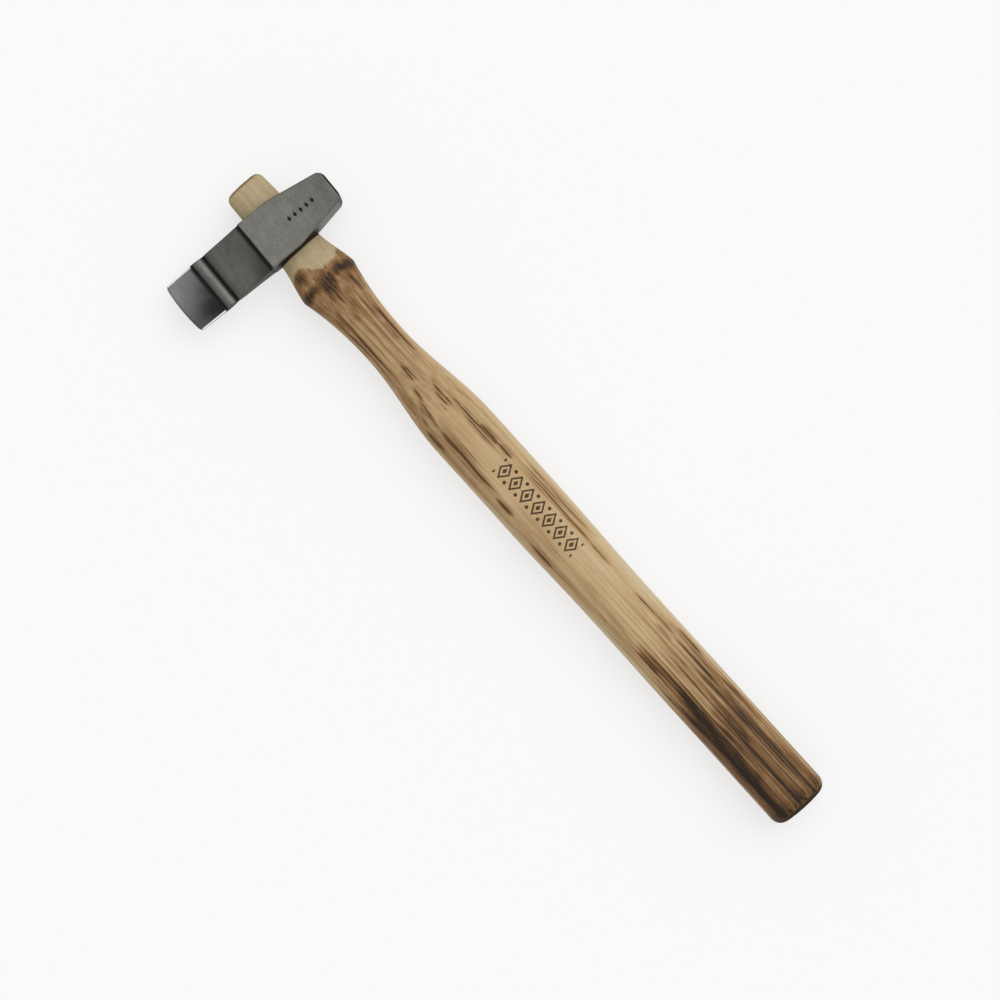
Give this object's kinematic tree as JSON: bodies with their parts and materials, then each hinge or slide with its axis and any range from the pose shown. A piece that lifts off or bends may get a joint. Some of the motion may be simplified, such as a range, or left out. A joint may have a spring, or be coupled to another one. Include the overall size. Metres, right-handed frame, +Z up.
{
  "type": "blacksmith hammer",
  "caption": "Handled forge tool in hammer form: a steel head with a tapered struck end, scooped working end and blunt blade, wedged on a shaped hickory handle with a scorched finish.",
  "frame": {"origin": "on the lower cheek, straight under the centre of the eye, where the head rests on a bench", "axes": "+X along the handle from the head to the butt, +Y towards the struck end, +Z up out of the upper cheek"},
  "size_m": [0.3564, 0.0833, 0.0254],
  "materials": {
    "forged_steel": "blasted cheeks, ground scoop and blade",
    "scorched_hickory": "scorched and oiled, bare at the head",
    "wedge_wood": "sawn flush with the tenon",
    "wedge_steel": "dark, as stamped"
  },
  "bodies": {
    "root": {"head": "forged_steel", "handle": "scorched_hickory", "wooden_wedge": "wedge_wood", "steel_wedges": "wedge_steel"}
  },
  "joints": []
}
